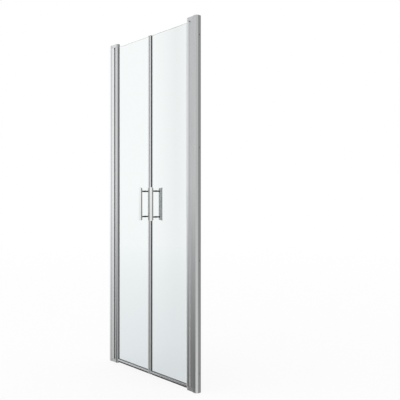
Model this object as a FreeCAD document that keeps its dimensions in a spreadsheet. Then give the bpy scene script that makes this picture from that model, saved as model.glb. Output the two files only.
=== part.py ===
import FreeCAD
import Part
import Sketcher
import math
import os

# Twin-leaf shower door: two glass leaves hung on pivot tubes between two wall jambs.
# Millimetres. +X runs along the opening, -Y faces the room, +Z is up.
# The origin is on the tray, midway between the walls, in the plane of the glass.
# The right-hand half is modelled and the left-hand half is its mirror image.

# Driving sizes, one row for each size that can be set by itself
SIZES = {
    "door_width": 800,
    "door_height": 1950,
    # Channel screwed to the wall
    "channel_depth": 30,
    "channel_flange": 28,
    "channel_wall": 1.8,
    "channel_chamfer": 10,
    "channel_soft_edge": 1.2,
    "fixing_hole": 5.5,
    "fixing_margin": 100,
    "fixing_count": 4,
    "plug_height": 12,
    # Post that slides in the channel and takes up an uneven wall
    "fit_gap": 0.2,
    "post_reach": 52,
    "post_inset": 12,
    "post_wall": 1.8,
    "post_face_wall": 4.5,
    "post_soft_edge": 2,
    "seal_groove_width": 4,
    "seal_groove_depth": 2.8,
    "seal_width": 7,
    "seal_play": 0.1,
    "running_gap": 0.3,
    # Screws that lock the post in the channel, with their covers
    "screw_diameter": 3.9,
    "screw_play": 0.1,
    "screw_length": 9,
    "screw_head_diameter": 7.5,
    "screw_head_height": 2.4,
    "screw_margin": 200,
    "screw_count": 3,
    "cover_wall": 0.8,
    # Pivot arms at the ends of the post
    "arm_height": 20,
    "arm_spigot": 25,
    "arm_soft_edge": 1,
    "hinge_offset": 73.3,
    "thrust_height": 1,
    "thrust_diameter": 12.5,
    "pin_diameter": 7,
    "pin_seat": 0.02,
    "pin_play": 0.05,
    "pin_bite": 24,
    "pin_head_diameter": 10,
    "pin_head_height": 4,
    # Round tube that turns on the pins and holds the glass
    "tube_diameter": 29,
    "tube_wall": 1.8,
    "slot_floor": 6.5,
    "slot_web": 1.7,
    "bush_length": 28,
    "bush_play": 0.1,
    # Glass and its gaskets
    "glass_thickness": 6,
    "glass_arris": 0.5,
    "glass_bite": 4.5,
    "gasket_side": 0.9,
    "gasket_base": 0.5,
    "gasket_bead": 1.6,
    "gasket_flange": 4.5,
    "gasket_flange_thickness": 1,
    "rail_bead": 3.6,
    "rail_flange_thickness": 2.6,
    "gasket_corner": 10,
    "hinge_lip": 4,
    "hinge_lip_rise": 2.5,
    # Stile along the meeting edge, with its magnetic seal
    "meeting_gap": 5,
    "closing_gap": 0.6,
    "stile_width": 10.5,
    "stile_front": 10,
    "stile_back": 6,
    "stile_soft_edge": 1.5,
    "stile_lift": 8,
    "stile_cap": 2,
    "strip_groove_width": 5,
    "strip_groove_depth": 3,
    "strip_width": 10,
    "magnet_width": 8,
    "magnet_thickness": 1.2,
    # Rail along the foot of the leaf, with its sweep
    "rail_lift": 15.5,
    "rail_height": 9.5,
    "rail_end_gap": 1,
    "sweep_front": 8,
    "sweep_back": 5,
    "sweep_flange": 2,
    "sweep_lip": 5,
    "sweep_lift": 4,
    # Pull handle, one bar on each face of the glass
    "handle_height": 973,
    "handle_spacing": 145,
    "handle_inset": 50.5,
    "bar_length": 189,
    "bar_width": 23,
    "bar_back_width": 12,
    "bar_back_inset": 5,
    "bar_thickness": 13,
    "bar_standoff": 26,
    "bar_soft_edge": 1,
    "stand_diameter": 8,
    "stud_diameter": 5,
    "stud_play": 0.1,
    "stud_bite": 8,
    "glass_hole": 8,
    "sleeve_play": 0.3,
    "disc_diameter": 10,
    "disc_height": 1,
}

# Places worked out from the driving sizes
TOP_Z = "(dims.door_height)"
WALL_X = "(dims.door_width / 2)"
WEB_X = f"({WALL_X} - dims.channel_wall)"
MOUTH_X = f"({WALL_X} - dims.channel_flange)"
CHANNEL_Y = "(dims.channel_depth / 2)"
FIXING_Y = "(dims.channel_chamfer / 2)"
INNER_CHANNEL_Y = f"({CHANNEL_Y} - dims.channel_wall)"
MITRE = "(sqrt(2) - 1)"

POST_Y = f"({INNER_CHANNEL_Y} - dims.fit_gap)"
POST_FACE_X = f"({WALL_X} - dims.post_reach)"
POST_BACK_X = f"({WALL_X} - dims.post_inset)"
HOLLOW_Y = f"({POST_Y} - dims.post_wall)"
HOLLOW_FACE_X = f"({POST_FACE_X} + dims.post_face_wall)"
HOLLOW_BACK_X = f"({POST_BACK_X} - dims.post_wall)"
SEAL_FOOT_X = f"({POST_FACE_X} + dims.seal_groove_depth)"
LOCK_X = f"(({MOUTH_X} + {POST_BACK_X}) / 2)"

ARM_LOW_Z = "(dims.arm_height)"
ARM_HIGH_Z = f"({TOP_Z} - dims.arm_height)"
AXIS_X = f"({WALL_X} - dims.hinge_offset)"
TUBE_LOW_Z = f"({ARM_LOW_Z} + dims.thrust_height)"
TUBE_HIGH_Z = f"({ARM_HIGH_Z} - dims.thrust_height)"
TUBE_EDGE_X = f"({AXIS_X} - dims.tube_diameter / 2)"
CAVITY_DIAMETER = "(dims.tube_diameter - 2 * dims.tube_wall)"
SLOT_FLOOR_X = f"({AXIS_X} - dims.slot_floor)"
CAVITY_FLAT_X = f"({SLOT_FLOOR_X} + dims.slot_web)"

GLASS_Y = "(dims.glass_thickness / 2)"
SLOT_Y = f"({GLASS_Y} + dims.gasket_side)"
FLANGE_Y = f"({SLOT_Y} + dims.gasket_flange)"
STILE_FRONT_Y = "(-dims.stile_front)"
STILE_BACK_Y = "(dims.stile_back)"
STILE_NEAR_X = "(dims.meeting_gap / 2)"
STILE_FAR_X = f"({STILE_NEAR_X} + dims.stile_width)"
STILE_FLOOR_X = f"({STILE_FAR_X} - dims.glass_bite)"
STRIP_FOOT_X = f"({STILE_NEAR_X} + dims.strip_groove_depth)"
STRIP_GROOVE_Y = "(dims.strip_groove_width / 2)"
STRIP_FOOT_Y = f"({STRIP_GROOVE_Y} - dims.seal_play)"
CLOSING_X = "(dims.closing_gap / 2)"
STILE_LOW_Z = "(dims.stile_lift + dims.stile_cap)"
STILE_HIGH_Z = f"({TUBE_HIGH_Z} - dims.stile_cap)"
RAIL_LOW_Z = "(dims.rail_lift)"
RAIL_HIGH_Z = f"({RAIL_LOW_Z} + dims.rail_height)"
RAIL_FLOOR_Z = f"({RAIL_HIGH_Z} - dims.glass_bite)"
RAIL_END_X = f"({TUBE_EDGE_X} - dims.rail_end_gap)"
BEAD_Z = f"({RAIL_HIGH_Z} + dims.rail_bead)"

GLASS_X = (f"({STILE_FLOOR_X} + dims.gasket_base)", f"({SLOT_FLOOR_X} - dims.gasket_base)")
GLASS_Z = (f"({RAIL_FLOOR_Z} + dims.gasket_base)", TUBE_HIGH_Z)
LEAF_STILE_Z = (STILE_LOW_Z, STILE_HIGH_Z)
POST_Z = (ARM_LOW_Z, ARM_HIGH_Z)
TUBE_Z = (TUBE_LOW_Z, TUBE_HIGH_Z)

STUD_BORE = "(dims.stud_diameter + 2 * dims.stud_play)"
PIN_BORE = "(dims.pin_diameter + 2 * dims.pin_play)"
PIN_SEAT = "(dims.pin_diameter + 2 * dims.pin_seat)"
PIN_HEAD_SEAT = "(dims.pin_head_diameter + 2 * dims.pin_seat)"
SCREW_HOLE = "(dims.screw_diameter + 2 * dims.screw_play)"
COVER_BORE = "(dims.screw_head_diameter + 2 * dims.screw_play)"
COVER_DIAMETER = f"({COVER_BORE} + 2 * dims.cover_wall)"
COVER_DEPTH = "(dims.screw_head_height + dims.screw_play)"
HANDLE_X = "(dims.handle_inset)"
STUD_HEIGHTS = [
    f"(dims.handle_height {side} dims.handle_spacing / 2)" for side in "-+"
]

ALONG_X = FreeCAD.Rotation(FreeCAD.Vector(0, 1, 0), 90)
ALONG_Y = FreeCAD.Rotation(FreeCAD.Vector(1, 0, 0), -90)
UPRIGHT = FreeCAD.Rotation()
TOUCH = 1e-6

doc = FreeCAD.newDocument("shower_door")


def negative(text):
    return f"-{text}"


def both(text):
    """The span from minus to plus one place."""
    return (negative(text), text)


def fill_sheet():
    """Put every driving size in the sheet, its name beside it and as its alias."""
    sheet = doc.addObject("Spreadsheet::Sheet", "dims")
    for row, (name, value) in enumerate(SIZES.items(), 1):
        sheet.set(f"A{row}", name)
        sheet.set(f"B{row}", str(value))
        sheet.setAlias(f"B{row}", name)
    doc.recompute()
    return sheet


def place(item, spot, rotation=UPRIGHT):
    """Turn an item, then tie its base point to three sheet expressions."""
    item.Placement = FreeCAD.Placement(FreeCAD.Vector(), rotation)
    for axis, text in zip("xyz", spot):
        item.setExpression(f"Placement.Base.{axis}", text)


def block(kind, name, x, y, z, owner=None):
    """A box between three pairs of expressions."""
    item = owner.newObject(kind, name) if owner else doc.addObject(kind, name)
    for size, (low, high) in zip(("Length", "Width", "Height"), (x, y, z)):
        item.setExpression(size, f"{high} - ({low})")
    place(item, (x[0], y[0], z[0]))
    return item


def box(name, x, y, z):
    return block("Part::Box", name, x, y, z)


def round_bar(kind, name, diameter, start, length, rotation=UPRIGHT, owner=None):
    """A cylinder from its start point, along the direction that the rotation gives +Z."""
    item = owner.newObject(kind, name) if owner else doc.addObject(kind, name)
    item.setExpression("Radius", f"{diameter} / 2")
    item.setExpression("Height", length)
    place(item, start, rotation)
    return item


def rod(name, diameter, x, y, z):
    """An upright cylinder between two heights."""
    return round_bar("Part::Cylinder", name, diameter, (x, y, z[0]), f"{z[1]} - ({z[0]})")


def cross_rod(name, diameter, x, y, z):
    """A cylinder through the door from front to back, between two depths."""
    length = f"{y[1]} - ({y[0]})"
    return round_bar("Part::Cylinder", name, diameter, (x, y[0], z), length, ALONG_Y)


def cut(name, base, tool):
    item = doc.addObject("Part::Cut", name)
    item.Base = base
    item.Tool = tool
    return item


def fuse(name, *items):
    item = doc.addObject("Part::MultiFuse", name)
    item.Shapes = items
    item.Refine = True
    return item


def common(name, *items):
    item = doc.addObject("Part::MultiCommon", name)
    item.Shapes = items
    return item


def group(name, items):
    item = doc.addObject("Part::Compound", name)
    item.Links = items
    return item


def ring(name, outer, inner, x, y, z):
    """A tube through the door from front to back."""
    return cut(
        name,
        cross_rod(f"{name}_outside", outer, x, y, z),
        cross_rod(f"{name}_bore", inner, x, y, z),
    )


def draw_outline(sketch, corners):
    """Add one closed outline whose corners are tied to sheet expressions."""
    count = len(corners)
    first = sketch.GeometryCount
    turn = 2 * math.pi / count
    spots = [FreeCAD.Vector(math.cos(i * turn), math.sin(i * turn), 0) for i in range(count)]
    for i in range(count):
        sketch.addGeometry(Part.LineSegment(spots[i], spots[(i + 1) % count]), False)
    for i, corner in enumerate(corners):
        line = first + i
        following = first + (i + 1) % count
        sketch.addConstraint(Sketcher.Constraint("Coincident", line, 2, following, 1))
        for kind, text, start in zip(("DistanceX", "DistanceY"), corner, spots[i]):
            fixed = sketch.addConstraint(Sketcher.Constraint(kind, -1, 1, line, 1, start))
            sketch.setExpression(f"Constraints[{fixed}]", text)


def long_edges(pad, sketch, corners):
    """Names of the extruded edges that run through the given corners of the first outline."""
    spots = [sketch.Placement.multVec(sketch.Geometry[i].StartPoint) for i in corners]
    axis = sketch.Placement.Rotation.multVec(FreeCAD.Vector(0, 0, 1))
    names = []
    for index, edge in enumerate(pad.Shape.Edges, 1):
        runs_along = edge.tangentAt(edge.FirstParameter).cross(axis).Length < TOUCH
        if runs_along and any(edge.distToShape(Part.Vertex(p))[0] < TOUCH for p in spots):
            names.append(f"Edge{index}")
    return names


def all_edges(feature):
    return [f"Edge{index + 1}" for index in range(len(feature.Shape.Edges))]


def extrusion(name, outlines, span, plane="XY_Plane", softened=None):
    """A bar of constant section. softened is (radius, corner numbers of the first outline)."""
    body = doc.addObject("PartDesign::Body", name)
    sketch = body.newObject("Sketcher::SketchObject", f"{name}_section")
    support = next(f for f in body.Origin.OriginFeatures if f.Role == plane)
    sketch.AttachmentSupport = [(support, "")]
    sketch.MapMode = "FlatFace"
    sketch.setExpression("AttachmentOffset.Base.z", span[0])
    for corners in outlines:
        draw_outline(sketch, corners)
    pad = body.newObject("PartDesign::Pad", f"{name}_bar")
    pad.Profile = sketch
    pad.setExpression("Length", f"{span[1]} - ({span[0]})")
    if softened:
        doc.recompute()
        radius, corners = softened
        fillet = body.newObject("PartDesign::Fillet", f"{name}_edges")
        fillet.Base = (pad, long_edges(pad, sketch, corners))
        fillet.setExpression("Radius", radius)
    return body


def rectangle(x, y):
    return [(x[0], y[0]), (x[1], y[0]), (x[1], y[1]), (x[0], y[1])]


def bore(body, name, diameter, start, length, rotation=UPRIGHT):
    """A round hole in a body."""
    round_bar("PartDesign::SubtractiveCylinder", name, diameter, start, length, rotation, body)


def evenly(margin, count):
    """Heights of a row that keeps one margin from both ends of the door."""
    step = f"({TOP_Z} - 2 * {margin}) / {count - 1}"
    return [f"({margin} + {i} * {step})" for i in range(count)]


def wall_channel(sheet):
    """Open channel: web on the wall, two flanges, a broad chamfer on the room side."""
    slope = f"{MITRE} * dims.channel_wall"
    front = negative(CHANNEL_Y)
    section = [
        (MOUTH_X, front),
        (f"{WALL_X} - dims.channel_chamfer", front),
        (WALL_X, f"{front} + dims.channel_chamfer"),
        (WALL_X, CHANNEL_Y),
        (MOUTH_X, CHANNEL_Y),
        (MOUTH_X, INNER_CHANNEL_Y),
        (WEB_X, INNER_CHANNEL_Y),
        (WEB_X, f"{front} + dims.channel_chamfer + {slope}"),
        (f"{WALL_X} - dims.channel_chamfer - {slope}", negative(INNER_CHANNEL_Y)),
        (MOUTH_X, negative(INNER_CHANNEL_Y)),
    ]
    outer_corners = [1, 2, 3]
    body = extrusion(
        "wall_channel", [section], ("0", TOP_Z), softened=("dims.channel_soft_edge", outer_corners)
    )
    for number, height in enumerate(evenly("dims.fixing_margin", int(sheet.fixing_count))):
        start = (WEB_X, FIXING_Y, height)
        bore(body, f"fixing_hole_{number}", "dims.fixing_hole", start, "dims.channel_wall", ALONG_X)
    for number, height in enumerate(lock_heights(sheet)):
        start = (LOCK_X, INNER_CHANNEL_Y, height)
        bore(body, f"channel_lock_hole_{number}", SCREW_HOLE, start, "dims.channel_wall", ALONG_Y)
    return body


def lock_heights(sheet):
    return evenly("dims.screw_margin", int(sheet.screw_count))


def channel_top_plug():
    """Moulded plug that closes the channel behind the post."""
    near = f"{POST_BACK_X} + dims.fit_gap"
    far = f"{WEB_X} - dims.fit_gap"
    slope = f"{MITRE} * (dims.channel_wall + dims.fit_gap)"
    front = negative(CHANNEL_Y)
    section = [
        (near, POST_Y),
        (near, negative(POST_Y)),
        (f"{WALL_X} - dims.channel_chamfer - {slope}", negative(POST_Y)),
        (far, f"{front} + dims.channel_chamfer + {slope}"),
        (far, POST_Y),
    ]
    return extrusion("channel_top_plug", [section], (f"{TOP_Z} - dims.plug_height", TOP_Z))


def adjusting_post(sheet):
    """Hollow post that slides in the channel, with a groove for the seal in its face."""
    groove = "(dims.seal_groove_width / 2)"
    section = [
        (POST_FACE_X, negative(POST_Y)),
        (POST_BACK_X, negative(POST_Y)),
        (POST_BACK_X, POST_Y),
        (POST_FACE_X, POST_Y),
        (POST_FACE_X, groove),
        (SEAL_FOOT_X, groove),
        (SEAL_FOOT_X, negative(groove)),
        (POST_FACE_X, negative(groove)),
    ]
    hollow = rectangle((HOLLOW_FACE_X, HOLLOW_BACK_X), both(HOLLOW_Y))
    face_corners = [0, 3]
    body = extrusion(
        "adjusting_post", [section, hollow], POST_Z, softened=("dims.post_soft_edge", face_corners)
    )
    for number, height in enumerate(lock_heights(sheet)):
        start = (LOCK_X, HOLLOW_Y, height)
        bore(body, f"post_lock_hole_{number}", SCREW_HOLE, start, "dims.post_wall", ALONG_Y)
    return body


def post_seal():
    """Soft strip in the groove of the post, hollowed to follow the round tube."""
    foot_y = "(dims.seal_groove_width / 2 - dims.seal_play)"
    ends = (f"{ARM_LOW_Z} + dims.running_gap", f"{ARM_HIGH_Z} - dims.running_gap")
    foot = box("seal_foot", (POST_FACE_X, f"{SEAL_FOOT_X} - dims.seal_play"), both(foot_y), ends)
    lip = box("seal_lip", (AXIS_X, POST_FACE_X), both("(dims.seal_width / 2)"), ends)
    sweep = rod("seal_hollow", "(dims.tube_diameter + 2 * dims.running_gap)", AXIS_X, "0", ends)
    return cut("post_seal", fuse("seal_strip", foot, lip), sweep)


def locking_screws(sheet):
    """Pan-head screws through the back flange into the post."""
    screws = []
    for number, height in enumerate(lock_heights(sheet)):
        shank_y = (f"{CHANNEL_Y} - dims.screw_length", CHANNEL_Y)
        head_y = (CHANNEL_Y, f"{CHANNEL_Y} + dims.screw_head_height")
        shank = cross_rod(f"screw_shank_{number}", "dims.screw_diameter", LOCK_X, shank_y, height)
        head = cross_rod(f"screw_head_{number}", "dims.screw_head_diameter", LOCK_X, head_y, height)
        screws.append(fuse(f"locking_screw_{number}", shank, head))
    return group("locking_screws", screws)


def screw_caps(sheet):
    """Snap covers over the screw heads, rounded at the rim."""
    return group("screw_caps", [
        screw_cap(number, height) for number, height in enumerate(lock_heights(sheet))
    ])


def screw_cap(number, height):
    body = doc.addObject("PartDesign::Body", f"screw_cap_{number}")
    start = (LOCK_X, CHANNEL_Y, height)
    shell = round_bar(
        "PartDesign::AdditiveCylinder", f"cap_outside_{number}", COVER_DIAMETER, start,
        f"{COVER_DEPTH} + dims.cover_wall", ALONG_Y, body,
    )
    doc.recompute()
    rim_y = shell.Shape.BoundBox.YMax
    rim = [
        f"Edge{index}"
        for index, edge in enumerate(shell.Shape.Edges, 1)
        if all(abs(vertex.Y - rim_y) < TOUCH for vertex in edge.Vertexes)
    ]
    fillet = body.newObject("PartDesign::Fillet", f"cap_rim_{number}")
    fillet.Base = (shell, rim)
    fillet.setExpression("Radius", "dims.cover_wall")
    bore(body, f"cap_inside_{number}", COVER_BORE, start, COVER_DEPTH, ALONG_Y)
    return body


def pivot_arm(name, head_z, spigot_z, outermost, seat_z):
    """Cast end of the post: head with a round nose over the tube, spigot in the post, pin hole."""
    body = doc.addObject("PartDesign::Body", name)
    head_x = (AXIS_X, POST_BACK_X)
    block("PartDesign::AdditiveBox", f"{name}_head", head_x, both(POST_Y), head_z, body)
    round_bar(
        "PartDesign::AdditiveCylinder", f"{name}_nose", f"(2 * {POST_Y})",
        (AXIS_X, "0", head_z[0]), "dims.arm_height", owner=body,
    )
    doc.recompute()
    nose = body.Tip
    rim_height = outermost(vertex.Z for vertex in nose.Shape.Vertexes)
    rim = [
        f"Edge{index}"
        for index, edge in enumerate(nose.Shape.Edges, 1)
        if all(abs(vertex.Z - rim_height) < TOUCH for vertex in edge.Vertexes)
    ]
    fillet = body.newObject("PartDesign::Fillet", f"{name}_rim")
    fillet.Base = (nose, rim)
    fillet.setExpression("Radius", "dims.arm_soft_edge")
    spigot_x = (f"{HOLLOW_FACE_X} + dims.fit_gap", f"{HOLLOW_BACK_X} - dims.fit_gap")
    spigot_y = both(f"({HOLLOW_Y} - dims.fit_gap)")
    block("PartDesign::AdditiveBox", f"{name}_spigot", spigot_x, spigot_y, spigot_z, body)
    bore(body, f"{name}_pin_hole", PIN_SEAT, (AXIS_X, "0", head_z[0]), "dims.arm_height")
    bore(body, f"{name}_head_seat", PIN_HEAD_SEAT, (AXIS_X, "0", seat_z), "dims.pin_head_height")
    return body


def pivot_pin(name, shank_z, head_z):
    """Headed steel pin, pressed home in its arm and running in the tube's bush."""
    shank = rod(f"{name}_shank", "dims.pin_diameter", AXIS_X, "0", shank_z)
    head = rod(f"{name}_head", "dims.pin_head_diameter", AXIS_X, "0", head_z)
    return fuse(name, shank, head)


def thrust_washer():
    """Low-friction ring that carries the weight of the leaf on the bottom arm."""
    rest_z = (ARM_LOW_Z, TUBE_LOW_Z)
    disc = rod("thrust_disc", "dims.thrust_diameter", AXIS_X, "0", rest_z)
    hole = rod("thrust_hole", PIN_BORE, AXIS_X, "0", rest_z)
    return cut("thrust_washer", disc, hole)


def tube_core(name, diameter, flat_x, span):
    """A round bar with a flat on the side of the glass."""
    bar = rod(f"{name}_round", diameter, AXIS_X, "0", span)
    kept_x = (flat_x, f"{AXIS_X} + dims.tube_diameter")
    kept = box(f"{name}_kept", kept_x, both("(dims.tube_diameter)"), span)
    return common(name, bar, kept)


def hinge_tube():
    """Round tube with a hollow core and a slot for the glass."""
    outside = rod("tube_outside", "dims.tube_diameter", AXIS_X, "0", TUBE_Z)
    core = tube_core("tube_hollow", CAVITY_DIAMETER, CAVITY_FLAT_X, TUBE_Z)
    slot_x = (f"{AXIS_X} - dims.tube_diameter", SLOT_FLOOR_X)
    slot = box("tube_slot", slot_x, both(SLOT_Y), TUBE_Z)
    return cut("hinge_tube", cut("tube_with_hollow", outside, core), slot)


def tube_bush(name, span):
    """Plastic bush that fills the end of the tube's hollow and carries the pin."""
    diameter = f"({CAVITY_DIAMETER} - 2 * dims.bush_play)"
    core = tube_core(f"{name}_core", diameter, f"{CAVITY_FLAT_X} + dims.bush_play", span)
    return cut(name, core, rod(f"{name}_bore", PIN_BORE, AXIS_X, "0", span))


def hinge_gasket():
    """U strip round the edge of the glass in the tube's slot, with lips over its mouth."""
    section = [
        (TUBE_EDGE_X, negative(SLOT_Y)),
        (SLOT_FLOOR_X, negative(SLOT_Y)),
        (SLOT_FLOOR_X, SLOT_Y),
        (TUBE_EDGE_X, SLOT_Y),
        (TUBE_EDGE_X, GLASS_Y),
        (GLASS_X[1], GLASS_Y),
        (GLASS_X[1], negative(GLASS_Y)),
        (TUBE_EDGE_X, negative(GLASS_Y)),
    ]
    strip = extrusion("hinge_strip", [section], (GLASS_Z[0], TUBE_HIGH_Z))
    return fuse("hinge_gasket", strip, hinge_lip("front_lip", negative), hinge_lip("back_lip", str))


def hinge_lip(name, side):
    """Wedge that leans on the glass and follows the outside of the tube."""
    tip_x = f"({TUBE_EDGE_X} - dims.hinge_lip)"
    root_x = f"({TUBE_EDGE_X} + dims.hinge_lip)"
    section = [
        (tip_x, side(GLASS_Y)),
        (tip_x, side(SLOT_Y)),
        (root_x, side(f"({SLOT_Y} + dims.hinge_lip_rise)")),
        (root_x, side(GLASS_Y)),
    ]
    span = (BEAD_Z, TUBE_HIGH_Z)
    wedge = extrusion(f"{name}_wedge", [section], span)
    return cut(name, wedge, rod(f"{name}_tube", "dims.tube_diameter", AXIS_X, "0", span))


def glass():
    """Toughened pane with ground edges and two holes for the handle studs."""
    body = doc.addObject("PartDesign::Body", "glass")
    pane = block("PartDesign::AdditiveBox", "pane", GLASS_X, both(GLASS_Y), GLASS_Z, body)
    doc.recompute()
    chamfer = body.newObject("PartDesign::Chamfer", "ground_edges")
    chamfer.Base = (pane, all_edges(pane))
    chamfer.setExpression("Size", "dims.glass_arris")
    for number, height in enumerate(STUD_HEIGHTS):
        start = (HANDLE_X, negative(GLASS_Y), height)
        bore(body, f"pane_hole_{number}", "dims.glass_hole", start, "dims.glass_thickness", ALONG_Y)
    return body


def stile_glass_side():
    """The far side of the stile's section, with the groove for the glass."""
    return [
        (STILE_FAR_X, STILE_FRONT_Y),
        (STILE_FAR_X, negative(SLOT_Y)),
        (STILE_FLOOR_X, negative(SLOT_Y)),
        (STILE_FLOOR_X, SLOT_Y),
        (STILE_FAR_X, SLOT_Y),
        (STILE_FAR_X, STILE_BACK_Y),
    ]


def meeting_stile():
    """Profile on the free edge: a groove for the glass, a groove for the magnetic seal."""
    section = [(STILE_NEAR_X, STILE_FRONT_Y)] + stile_glass_side() + [
        (STILE_NEAR_X, STILE_BACK_Y),
        (STILE_NEAR_X, STRIP_GROOVE_Y),
        (STRIP_FOOT_X, STRIP_GROOVE_Y),
        (STRIP_FOOT_X, negative(STRIP_GROOVE_Y)),
        (STILE_NEAR_X, negative(STRIP_GROOVE_Y)),
    ]
    outer_corners = [0, 1, 6, 7]
    softened = ("dims.stile_soft_edge", outer_corners)
    return extrusion("meeting_stile", [section], LEAF_STILE_Z, softened=softened)


def stile_caps():
    """Moulded covers on the two ends of the stile, the upper one open round the glass."""
    foot_section = rectangle((STILE_NEAR_X, STILE_FAR_X), (STILE_FRONT_Y, STILE_BACK_Y))
    foot_z = ("dims.stile_lift", STILE_LOW_Z)
    foot_soft = ("dims.stile_soft_edge", [0, 1, 2, 3])
    head_section = [(STILE_NEAR_X, STILE_FRONT_Y)] + stile_glass_side() + [(STILE_NEAR_X, STILE_BACK_Y)]
    head_z = (STILE_HIGH_Z, TUBE_HIGH_Z)
    head_soft = ("dims.stile_soft_edge", [0, 1, 6, 7])
    return group("stile_caps", [
        extrusion("foot_cap", [foot_section], foot_z, softened=foot_soft),
        extrusion("head_cap", [head_section], head_z, softened=head_soft),
    ])


def magnetic_seal():
    """Soft strip clipped in the stile, with a channel for its magnet."""
    strip_y = "(dims.strip_width / 2)"
    foot_x = f"{STRIP_FOOT_X} - dims.seal_play"
    section = [
        (CLOSING_X, negative(strip_y)),
        (STILE_NEAR_X, negative(strip_y)),
        (STILE_NEAR_X, negative(STRIP_FOOT_Y)),
        (foot_x, negative(STRIP_FOOT_Y)),
        (foot_x, STRIP_FOOT_Y),
        (STILE_NEAR_X, STRIP_FOOT_Y),
        (STILE_NEAR_X, strip_y),
        (CLOSING_X, strip_y),
    ]
    return extrusion("magnetic_seal", [section, magnet_section("dims.seal_play")], LEAF_STILE_Z)


def magnet_section(play):
    """Outline of the magnet in its strip, grown by a clearance."""
    middle = f"({CLOSING_X} + {STILE_NEAR_X}) / 2"
    half_x = f"(dims.magnet_thickness / 2 + {play})"
    half_y = f"(dims.magnet_width / 2 + {play})"
    return rectangle((f"{middle} - {half_x}", f"{middle} + {half_x}"), both(half_y))


def seal_magnet():
    return extrusion("seal_magnet", [magnet_section("0")], LEAF_STILE_Z)


def bottom_rail():
    """Profile under the glass: a groove for the glass above, a groove for the sweep below."""
    section = [
        (STILE_FRONT_Y, RAIL_LOW_Z),
        (negative(STRIP_GROOVE_Y), RAIL_LOW_Z),
        (negative(STRIP_GROOVE_Y), f"{RAIL_LOW_Z} + dims.strip_groove_depth"),
        (STRIP_GROOVE_Y, f"{RAIL_LOW_Z} + dims.strip_groove_depth"),
        (STRIP_GROOVE_Y, RAIL_LOW_Z),
        (STILE_BACK_Y, RAIL_LOW_Z),
        (STILE_BACK_Y, RAIL_HIGH_Z),
        (SLOT_Y, RAIL_HIGH_Z),
        (SLOT_Y, RAIL_FLOOR_Z),
        (negative(SLOT_Y), RAIL_FLOOR_Z),
        (negative(SLOT_Y), RAIL_HIGH_Z),
        (STILE_FRONT_Y, RAIL_HIGH_Z),
    ]
    outer_corners = [0, 5, 6, 11]
    softened = ("dims.stile_soft_edge", outer_corners)
    return extrusion("bottom_rail", [section], (STILE_FAR_X, RAIL_END_X), "YZ_Plane", softened)


def bottom_sweep():
    """Soft strip under the rail, with a lip just clear of the tray."""
    lip_y = "(dims.sweep_lip / 2)"
    shelf_z = f"{RAIL_LOW_Z} - dims.sweep_flange"
    foot_z = f"{RAIL_LOW_Z} + dims.strip_groove_depth - dims.seal_play"
    section = [
        (negative(lip_y), "dims.sweep_lift"),
        (lip_y, "dims.sweep_lift"),
        ("dims.sweep_back", shelf_z),
        ("dims.sweep_back", RAIL_LOW_Z),
        (STRIP_FOOT_Y, RAIL_LOW_Z),
        (STRIP_FOOT_Y, foot_z),
        (negative(STRIP_FOOT_Y), foot_z),
        (negative(STRIP_FOOT_Y), RAIL_LOW_Z),
        (negative("dims.sweep_front"), RAIL_LOW_Z),
        (negative("dims.sweep_front"), shelf_z),
    ]
    return extrusion("bottom_sweep", [section], (STILE_FAR_X, RAIL_END_X), "YZ_Plane")


def gasket_section(floor, glass_edge, lip, flange, bead):
    """Section of a glazing strip: two legs in the slot, a flange and a bead on the room side."""
    return [
        (floor, negative(SLOT_Y)),
        (lip, negative(SLOT_Y)),
        (lip, negative(FLANGE_Y)),
        (f"{lip} + {flange}", negative(FLANGE_Y)),
        (f"{lip} + {bead}", negative(SLOT_Y)),
        (f"{lip} + {bead}", negative(GLASS_Y)),
        (glass_edge, negative(GLASS_Y)),
        (glass_edge, GLASS_Y),
        (lip, GLASS_Y),
        (lip, SLOT_Y),
        (floor, SLOT_Y),
    ]


def gasket_corner():
    """Moulded corner that rounds the joint between the stile strip and the rail strip."""
    x = (STILE_FAR_X, f"({STILE_FAR_X} + dims.gasket_corner)")
    y = (negative(FLANGE_Y), negative(GLASS_Y))
    z = (RAIL_HIGH_Z, f"({RAIL_HIGH_Z} + dims.gasket_corner)")
    hollow = "(2 * (dims.gasket_corner - dims.gasket_flange_thickness))"
    web = box("gasket_corner_web", x, y, z)
    return cut("gasket_corner", web, cross_rod("gasket_corner_hollow", hollow, x[1], y, z[1]))


def glazing_gaskets():
    """One moulded strip round the edges of the glass in the stile and in the rail."""
    stile_section = gasket_section(
        STILE_FLOOR_X, GLASS_X[0], STILE_FAR_X, "dims.gasket_flange_thickness", "dims.gasket_bead"
    )
    lying_section = gasket_section(
        RAIL_FLOOR_Z, GLASS_Z[0], RAIL_HIGH_Z, "dims.rail_flange_thickness", "dims.rail_bead"
    )
    rail_section = [(y, z) for z, y in lying_section]
    return fuse(
        "glazing_gaskets",
        extrusion("stile_gasket", [stile_section], (BEAD_Z, STILE_HIGH_Z)),
        extrusion("rail_gasket", [rail_section], (STILE_FAR_X, RAIL_END_X), "YZ_Plane"),
        gasket_corner(),
    )


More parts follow.
